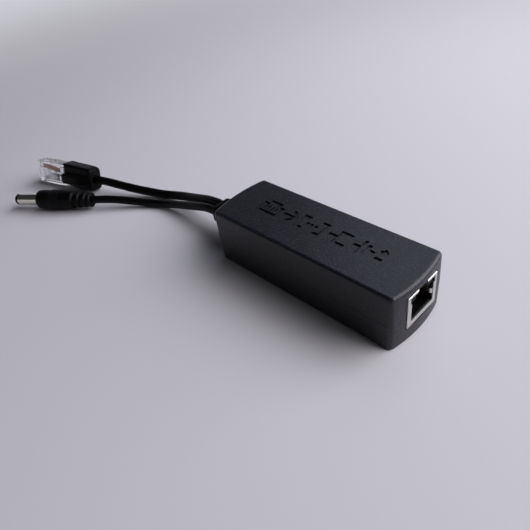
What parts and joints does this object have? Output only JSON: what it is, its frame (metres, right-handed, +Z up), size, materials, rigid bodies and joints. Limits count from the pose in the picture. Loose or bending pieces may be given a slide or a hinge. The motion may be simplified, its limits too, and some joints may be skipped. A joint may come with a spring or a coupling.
{
  "type": "power over ethernet splitter",
  "caption": "Moulded box with a shielded network jack at one end and, at the other, a strain relief with two short tails: a clear data plug with a boot and a low-voltage barrel plug.",
  "frame": {"origin": "middle of the housing's underside, on the surface that it stands on", "axes": "+X out of the jack, along the housing's length; +Y across; +Z up"},
  "size_m": [0.2196, 0.067, 0.0228],
  "materials": {
    "housing_black": "fine spark-eroded matt moulding",
    "cable_black": "smooth PVC jacket with a soft sheen",
    "boot_black": "soft moulded PVC",
    "tinned_shield": "bright tin plate",
    "insulator_black": "moulded nylon",
    "contact_gold": "gold flash",
    "nickel": "polished nickel plate",
    "clear_plastic": "clear polycarbonate",
    "board_green": "solder mask",
    "ferrite": "ground ferrite",
    "copper": "enamelled copper",
    "winding_tape": "polyester tape",
    "capacitor_sleeve": "shrunk sleeve",
    "ceramic_blue": "dipped coating",
    "chip_black": "moulded epoxy",
    "wire_orange": "insulated wire",
    "wire_pale_orange": "insulated wire",
    "wire_green": "insulated wire",
    "wire_pale_green": "insulated wire",
    "wire_red": "insulated wire",
    "wire_black": "insulated wire"
  },
  "bodies": {
    "root": {"ceramic_capacitor": "ceramic_blue", "circuit_board": "board_green", "data_cable": "cable_black", "data_lead_1": "wire_pale_orange", "data_lead_2": "wire_orange", "data_lead_3": "wire_pale_green", "data_lead_4": "wire_green", "data_plug_body": "clear_plastic", "data_plug_boot": "boot_black", "data_plug_contact_1": "contact_gold", "data_plug_contact_2": "contact_gold", "data_plug_contact_3": "contact_gold", "data_plug_contact_4": "contact_gold", "data_plug_contact_5": "contact_gold", "data_plug_contact_6": "contact_gold", "data_plug_contact_7": "contact_gold", "data_plug_contact_8": "contact_gold", "data_plug_wire_1": "wire_pale_orange", "data_plug_wire_2": "wire_orange", "data_plug_wire_3": "wire_pale_green", "data_plug_wire_6": "wire_green", "inductor_core": "ferrite", "inductor_winding": "copper", "input_bridge_1": "chip_black", "input_bridge_2": "chip_black", "input_capacitor": "capacitor_sleeve", "jack_contact_1": "contact_gold", "jack_contact_2": "contact_gold", "jack_contact_3": "contact_gold", "jack_contact_4": "contact_gold", "jack_contact_5": "contact_gold", "jack_contact_6": "contact_gold", "jack_contact_7": "contact_gold", "jack_contact_8": "contact_gold", "jack_housing": "insulator_black", "jack_shield": "tinned_shield", "lan_transformer": "chip_black", "lower_shell": "housing_black", "optocoupler": "chip_black", "output_capacitor": "capacitor_sleeve", "power_cable": "cable_black", "power_controller": "chip_black", "power_lead_1": "wire_red", "power_lead_2": "wire_black", "power_plug_contact": "contact_gold", "power_plug_grip": "boot_black", "power_plug_insulator": "insulator_black", "power_plug_sleeve": "nickel", "rectifier_diode": "chip_black", "strain_relief": "boot_black", "transformer_bobbin": "chip_black", "transformer_core": "ferrite", "transformer_winding": "winding_tape", "upper_shell": "housing_black"}
  },
  "joints": []
}
